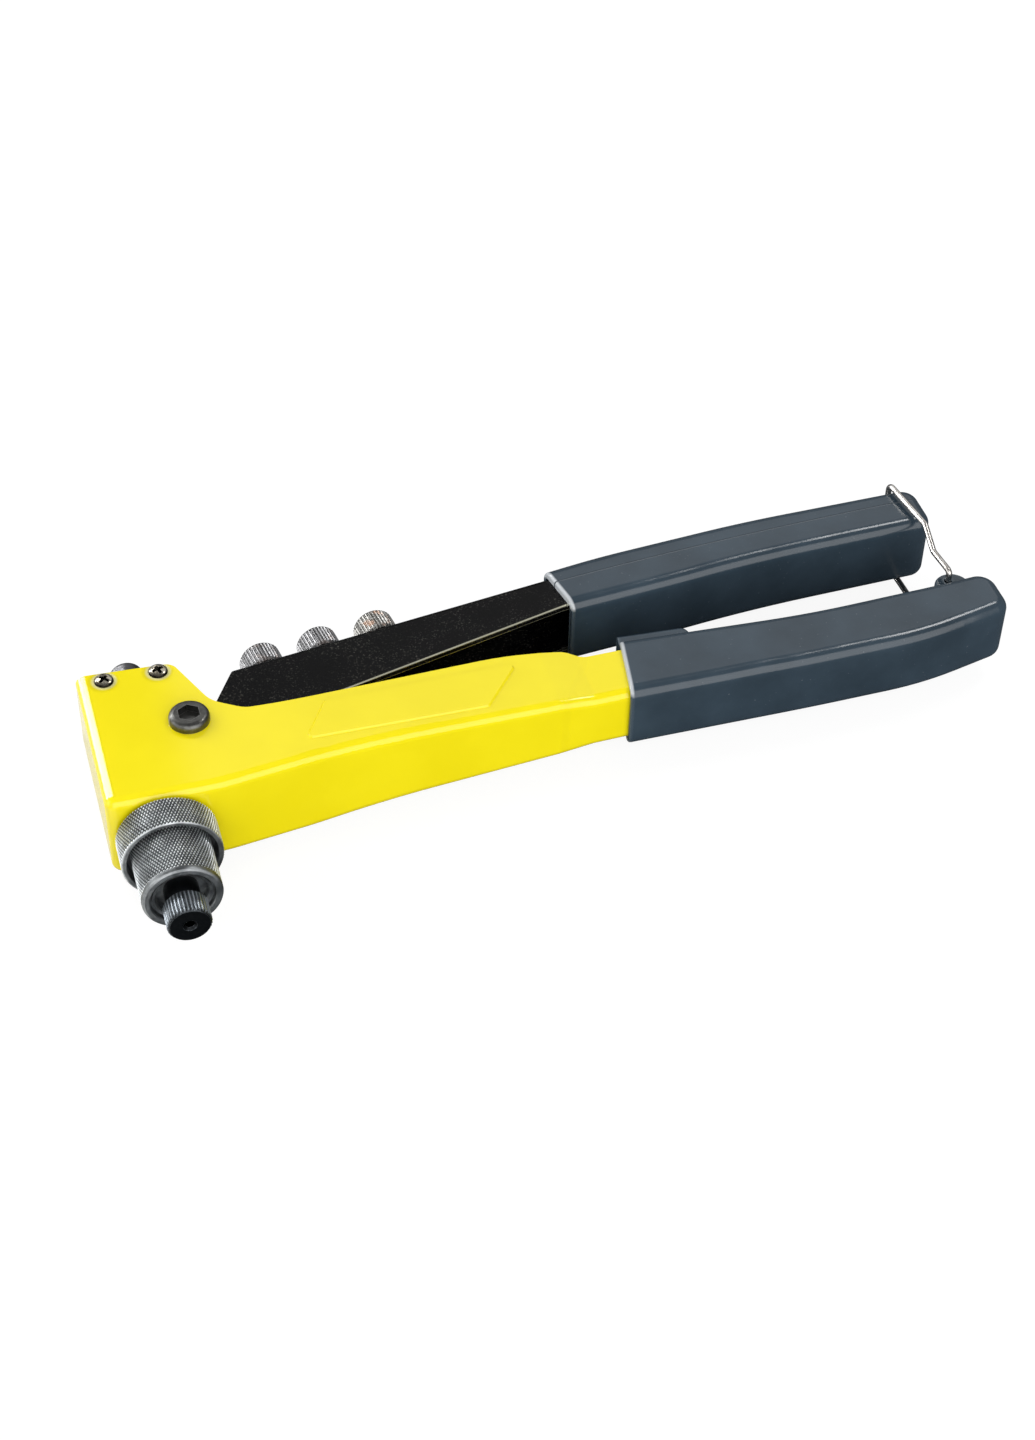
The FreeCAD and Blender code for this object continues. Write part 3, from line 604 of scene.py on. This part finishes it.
fitted_steel = piece_steel("fitted_steel", (0.014, 0.015, 0.017), (0.27, 0.30, 0.33), None)
spare_steel = piece_steel("spare_steel", (0.085, 0.085, 0.088), (0.28, 0.28, 0.285), 0.12)
rusty_steel = piece_steel("rusty_steel", (0.095, 0.092, 0.086), (0.32, 0.315, 0.30), 0.6)
place_piece("nose_tip", "fitted_nosepiece", "nosepiece", 0.0014, fitted_steel,
            Vector((0.0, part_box("fitted_nosepiece")[0].y, 0.0)), Vector((0.0, -1.0, 0.0)))
for spare, hole, steel in ((1, 0.0016, spare_steel), (2, 0.0020, spare_steel), (3, 0.0025, rusty_steel)):
    spare_node = "stored_nosepiece_%d" % spare
    spare_joint = joints["spare_%d_spin" % spare]
    spare_out = Vector(spare_joint["axis"]).normalized()
    spare_anchor = Vector(spare_joint["pos_m"])
    place_piece("spare_tip_%d" % spare, spare_node, "spare_%d" % spare, hole, steel,
                front_face(spare_node, spare_anchor, spare_out), spare_out)


# ---------------------------------------------------------------- lever
# The moving lever is a folded steel channel, dipped in thin black paint. Dust sits in the paint
# and the cut edges of the two cheeks are bare and bright.
def black_paint():
    material, tree, shader = start_finish("black_paint", (0.004, 0.004, 0.0045), 0.0, 0.4)
    link = tree.links.new
    place = add_node(tree, "ShaderNodeTexCoord")
    level = add_node(tree, "ShaderNodeVectorMath", operation="DOT_PRODUCT")
    level.inputs[1].default_value = (-edge_way.y, edge_way.x, 0.0)
    link(place.outputs["Object"], level.inputs[0])
    off = add_node(tree, "ShaderNodeMath", {1: edge_start.y * edge_way.x - edge_start.x * edge_way.y},
                   operation="SUBTRACT")
    link(level.outputs["Value"], off.inputs[0])
    on_cut = add_node(tree, "ShaderNodeMath", operation="ABSOLUTE")
    link(off.outputs[0], on_cut.inputs[0])
    near_cut = add_node(tree, "ShaderNodeMapRange", {"From Min": 0.0007, "From Max": 0.0004})
    link(on_cut.outputs[0], near_cut.inputs["Value"])
    depth = add_node(tree, "ShaderNodeSeparateXYZ")
    link(place.outputs["Object"], depth.inputs[0])
    cheek = add_node(tree, "ShaderNodeMath", operation="ABSOLUTE")
    link(depth.outputs["Z"], cheek.inputs[0])
    middle_off = add_node(tree, "ShaderNodeMath", {1: cheek_middle}, operation="SUBTRACT")
    link(cheek.outputs[0], middle_off.inputs[0])
    from_middle = add_node(tree, "ShaderNodeMath", operation="ABSOLUTE")
    link(middle_off.outputs[0], from_middle.inputs[0])
    arris = add_node(tree, "ShaderNodeMapRange", {"From Min": 0.0006, "From Max": 0.0008})
    link(from_middle.outputs[0], arris.inputs["Value"])
    bare = add_node(tree, "ShaderNodeMath", operation="MULTIPLY")
    link(near_cut.outputs["Result"], bare.inputs[0])
    link(arris.outputs["Result"], bare.inputs[1])
    speck = add_patches(tree, 0.0006, 0.57, 0.70, 2.0)
    dust = add_patches(tree, 0.012, 0.3, 0.8, 5.0)
    both = add_node(tree, "ShaderNodeMath", operation="MULTIPLY")
    link(speck, both.inputs[0])
    link(dust, both.inputs[1])
    paint = blend_colours(tree, dust, (0.001, 0.001, 0.0012), (0.003, 0.003, 0.0034))
    dusty = blend_colours(tree, both.outputs[0], paint, (0.07, 0.068, 0.06))
    link(blend_colours(tree, bare.outputs[0], dusty, (0.50, 0.49, 0.38)), shader.inputs["Base Color"])
    link(bare.outputs[0], shader.inputs["Metallic"])
    link(blend_values(tree, dust, 0.22, 0.32), shader.inputs["Roughness"])
    link(add_bump(tree, add_patches(tree, 0.0008, 0.3, 0.7, 3.0), 0.00002, 0.5), shader.inputs["Normal"])
    shader.inputs["Specular IOR Level"].default_value = 0.1
    return material


cheek_middle = 0.0091
edge_start = Vector((0.0145, 0.0576, 0.0))
edge_way = (Vector((0.1343, 0.0889, 0.0)) - edge_start).normalized()
dress("lever_channel", black_paint())


# ---------------------------------------------------------------- grips
# Both grips are thick black vinyl sleeves, moulded in two halves with a fine parting line,
# pushed over the tangs while warm; the skin is smooth, slightly wavy, and bloomed in places.
def black_vinyl(name, mouth, seam):
    """Vinyl with a painted highlight on its ridges and on the rolled rim of its leaning mouth.

    mouth is the x and y of the rim's end nearest the nose, and how far x shifts for each step
    in y; seam is None or a point on the parting line, its slope there and its square term.
    """
    material, tree, shader = start_finish(name, (0.02, 0.03, 0.04), 0.0, 0.25)
    link = tree.links.new
    bloom = add_patches(tree, 0.02, 0.1, 0.9, 5.0)
    skin = blend_colours(tree, bloom, (0.022, 0.036, 0.050), (0.042, 0.066, 0.090))
    # Painted highlight: the bends and ridges are painted lighter grey-blue through the edge mask.
    ridge_highlight = add_node(tree, "ShaderNodeMapRange", {"From Min": 0.1, "From Max": 0.9, "To Max": 0.75},
                      interpolation_type="SMOOTHSTEP")
    link(add_edge_wear_and_sheen(tree, 0.0016), ridge_highlight.inputs["Value"])
    skin = blend_colours(tree, ridge_highlight.outputs["Result"], skin, (0.16, 0.20, 0.235))
    place = add_node(tree, "ShaderNodeTexCoord")
    split = add_node(tree, "ShaderNodeSeparateXYZ")
    link(place.outputs["Object"], split.inputs[0])
    # Painted highlight: the rolled rim at the mouth is painted pale, where it catches the light.
    upright = add_node(tree, "ShaderNodeMath", {1: -mouth[2], 2: mouth[2] * mouth[1] - mouth[0]},
                       operation="MULTIPLY_ADD")
    link(split.outputs["Y"], upright.inputs[0])
    inward = add_node(tree, "ShaderNodeMath", operation="ADD")
    link(split.outputs["X"], inward.inputs[0])
    link(upright.outputs[0], inward.inputs[1])
    lip = add_node(tree, "ShaderNodeMapRange", {"From Min": 0.0013, "From Max": 0.0006, "To Max": 0.9},
                   interpolation_type="SMOOTHSTEP")
    link(inward.outputs[0], lip.inputs["Value"])
    flank = add_node(tree, "ShaderNodeMath", operation="ABSOLUTE")
    link(split.outputs["Z"], flank.inputs[0])
    outer = add_node(tree, "ShaderNodeMapRange", {"From Min": 0.0088, "From Max": 0.0100})
    link(flank.outputs[0], outer.inputs["Value"])
    rim = add_node(tree, "ShaderNodeMath", operation="MULTIPLY")
    link(lip.outputs["Result"], rim.inputs[0])
    link(outer.outputs["Result"], rim.inputs[1])
    skin = blend_colours(tree, rim.outputs[0], skin, (0.55, 0.58, 0.61))
    wave = add_bump(tree, add_patches(tree, 0.02, 0.0, 1.0, 1.0), 0.0006, 0.6)
    if seam is not None:
        along = add_node(tree, "ShaderNodeMath", {1: seam[0]}, operation="SUBTRACT")
        link(split.outputs["X"], along.inputs[0])
        slope = add_node(tree, "ShaderNodeMath", {1: seam[3], 2: seam[2]}, operation="MULTIPLY_ADD")
        link(along.outputs[0], slope.inputs[0])
        curve = add_node(tree, "ShaderNodeMath", {2: seam[1]}, operation="MULTIPLY_ADD")
        link(along.outputs[0], curve.inputs[0])
        link(slope.outputs[0], curve.inputs[1])
        off = add_node(tree, "ShaderNodeMath", operation="SUBTRACT")
        link(split.outputs["Y"], off.inputs[0])
        link(curve.outputs[0], off.inputs[1])
        away = add_node(tree, "ShaderNodeMath", operation="ABSOLUTE")
        link(off.outputs[0], away.inputs[0])
        line = add_node(tree, "ShaderNodeMapRange", {"From Min": 0.00035, "From Max": 0.0001},
                        interpolation_type="SMOOTHSTEP")
        link(away.outputs[0], line.inputs["Value"])
        wave = add_bump(tree, line.outputs["Result"], 0.0003, 1.0, wave)
        skin = blend_colours(tree, line.outputs["Result"], skin, (0.07, 0.09, 0.11))
    speck = add_patches(tree, 0.0009, 0.70, 0.80, 2.0)
    link(blend_colours(tree, speck, skin, (0.09, 0.11, 0.13)), shader.inputs["Base Color"])
    link(blend_values(tree, bloom, 0.14, 0.21), shader.inputs["Roughness"])
    pores = add_patches(tree, 0.0012, 0.2, 0.8, 3.0)
    link(add_bump(tree, pores, 0.00001, 0.5, wave), shader.inputs["Normal"])
    shader.inputs["Specular IOR Level"].default_value = 0.5
    return material


lower_mouth = (0.1412, 0.0449, 0.162)
upper_mouth = (0.1318, 0.1052, -0.213)
upper_seam = (0.138, 0.0985, 0.122, -0.389)
dress("lower_grip", black_vinyl("lower_vinyl", lower_mouth, None))
dress("upper_grip", black_vinyl("upper_vinyl", upper_mouth, upper_seam))


# ---------------------------------------------------------------- latch
# The latch is one length of hard wire bent to a loop and plated bright; it snaps across the
# back of the upper grip and its two tips turn in at the lug of the lower grip.
def plated_wire():
    material, tree, shader = start_finish("plated_wire", (0.70, 0.69, 0.66), 1.0, 0.16)
    link = tree.links.new
    dull = add_patches(tree, 0.006, 0.3, 0.75, 3.0)
    link(blend_colours(tree, dull, (0.82, 0.80, 0.77), (0.46, 0.43, 0.40)), shader.inputs["Base Color"])
    link(blend_values(tree, dull, 0.22, 0.32), shader.inputs["Roughness"])
    return material


def merged_copy(node):
    """Joined mesh of a carried-over part, its own mesh left as it is."""
    bm = bmesh.new()
    bm.from_mesh(nodes[node].data)
    bmesh.ops.remove_doubles(bm, verts=bm.verts, dist=1e-6)
    return bm


latch_loop = finish_mesh(merged_copy("latch_wire"), "latch_loop", plated_wire(), 60.0)
stands_for(latch_loop, "latch_wire", "latch")


# ---------------------------------------------------------------- floor, light and camera
# A lit white card under the tool that shines dark but for its left end, a wide soft light in
# front, narrow strips for the shine on the bends, dim ones behind and left, and a pale room.
def floor_card():
    material, tree, shader = start_finish("floor_card", (0.94, 0.94, 0.94), 0.0, 0.9)
    link = tree.links.new
    ray = add_node(tree, "ShaderNodeLightPath")
    tint = blend_colours(tree, add_patches(tree, 0.5), (0.44, 0.44, 0.45), (0.46, 0.46, 0.47))
    tint = blend_colours(tree, ray.outputs["Is Camera Ray"], tint, (0.15, 0.15, 0.15))
    place = add_node(tree, "ShaderNodeTexCoord")
    split = add_node(tree, "ShaderNodeSeparateXYZ")
    link(place.outputs["Object"], split.inputs[0])
    left = add_node(tree, "ShaderNodeMapRange", {"From Min": -0.0140, "From Max": -0.0148})
    link(split.outputs["X"], left.inputs["Value"])
    seen = blend_colours(tree, left.outputs["Result"], (0.10, 0.11, 0.12), (0.95, 0.95, 0.93))
    tint = blend_colours(tree, ray.outputs["Is Glossy Ray"], tint, seen)
    link(tint, shader.inputs["Base Color"])
    shader.inputs["Specular IOR Level"].default_value = 0.0
    shader.inputs["Emission Color"].default_value = (1.0, 1.0, 1.0, 1.0)
    link(blend_values(tree, ray.outputs["Is Camera Ray"], 0.0, 0.90), shader.inputs["Emission Strength"])
    return material


card = bmesh.new()
bmesh.ops.create_grid(card, x_segments=4, y_segments=4, size=4.0,
                      matrix=Matrix.Translation((0.12, 0.05, cad_box[0][2] - 0.0002)))
floor = finish_mesh(card, "floor", floor_card(), 30.0)


def soft_light(name, aim, way, reach, along, width, height, watts):
    """Rectangular light out from the point aim along way, its width laid along a direction."""
    lamp = bpy.data.lights.new(name, "AREA")
    lamp.shape = "RECTANGLE"
    lamp.size = width
    lamp.size_y = height
    lamp.energy = watts
    holder = bpy.data.objects.new(name, lamp)
    bpy.context.scene.collection.objects.link(holder)
    out = Vector(way).normalized()
    across = (Vector(along) - out * out.dot(Vector(along))).normalized()
    turn = Matrix((across, out.cross(across), out)).transposed().to_4x4()
    holder.matrix_world = Matrix.Translation(Vector(aim) + out * reach) @ turn


middle = (0.12, 0.05, 0.0)
head = (-0.012, 0.065, 0.012)
soft_light("ridge_light", middle, (0.60, 0.24, 0.95), 1.1, (1.0, 0.0, 0.0), 0.24, 0.24, 2.1)
soft_light("back_light", middle, (0.36, 0.68, 0.64), 1.3, (1.0, 0.0, 0.0), 1.0, 0.6, 1.3)
soft_light("front_light", middle, (0.1, -1.2, 0.50), 1.5, (1.0, 0.0, 0.0), 2.6, 2.0, 36.0)
soft_light("left_light", middle, (-1.0, 0.0, 0.35), 1.4, (0.0, 1.0, 0.0), 1.5, 0.9, 7.0)
for bend_part, bend_turn in enumerate((21.0, 47.0, 73.0)):
    bend_angle = math.radians(bend_turn)
    soft_light("bend_light_%d" % bend_part, head,
               (-0.702 * math.sin(bend_angle), 0.712, 0.702 * math.cos(bend_angle)), 1.0,
               (math.cos(bend_angle), 0.0, math.sin(bend_angle)), 0.32, 0.14, 1.9)

room = bpy.data.worlds.new("room")
room.use_nodes = True
room.node_tree.nodes["Background"].inputs["Color"].default_value = (1.0, 1.0, 1.0, 1.0)
room.node_tree.nodes["Background"].inputs["Strength"].default_value = 0.20
bpy.context.scene.world = room
bpy.context.scene.view_settings.view_transform = "Standard"

look_at = Vector((0.10897, 0.0540, 0.0))
side = math.radians(-17.1)
rise = math.radians(43.8)
roll = math.radians(1.48)
away = 0.7470
back = Vector((math.sin(side) * math.cos(rise), -math.cos(side) * math.cos(rise), math.sin(rise)))
right = Vector((math.cos(side), math.sin(side), 0.0))
up = back.cross(right)
rolled_right = right * math.cos(roll) + up * math.sin(roll)
rolled_up = up * math.cos(roll) - right * math.sin(roll)
lens = bpy.data.cameras.new("camera")
lens.lens = 62.715
lens.sensor_width = 36.0
lens.clip_start = 0.01
lens.clip_end = 20.0
camera = bpy.data.objects.new("camera", lens)
bpy.context.scene.collection.objects.link(camera)
axes = Matrix((rolled_right, rolled_up, back)).transposed().to_4x4()
camera.matrix_world = Matrix.Translation(look_at + back * away) @ axes
bpy.context.scene.camera = camera
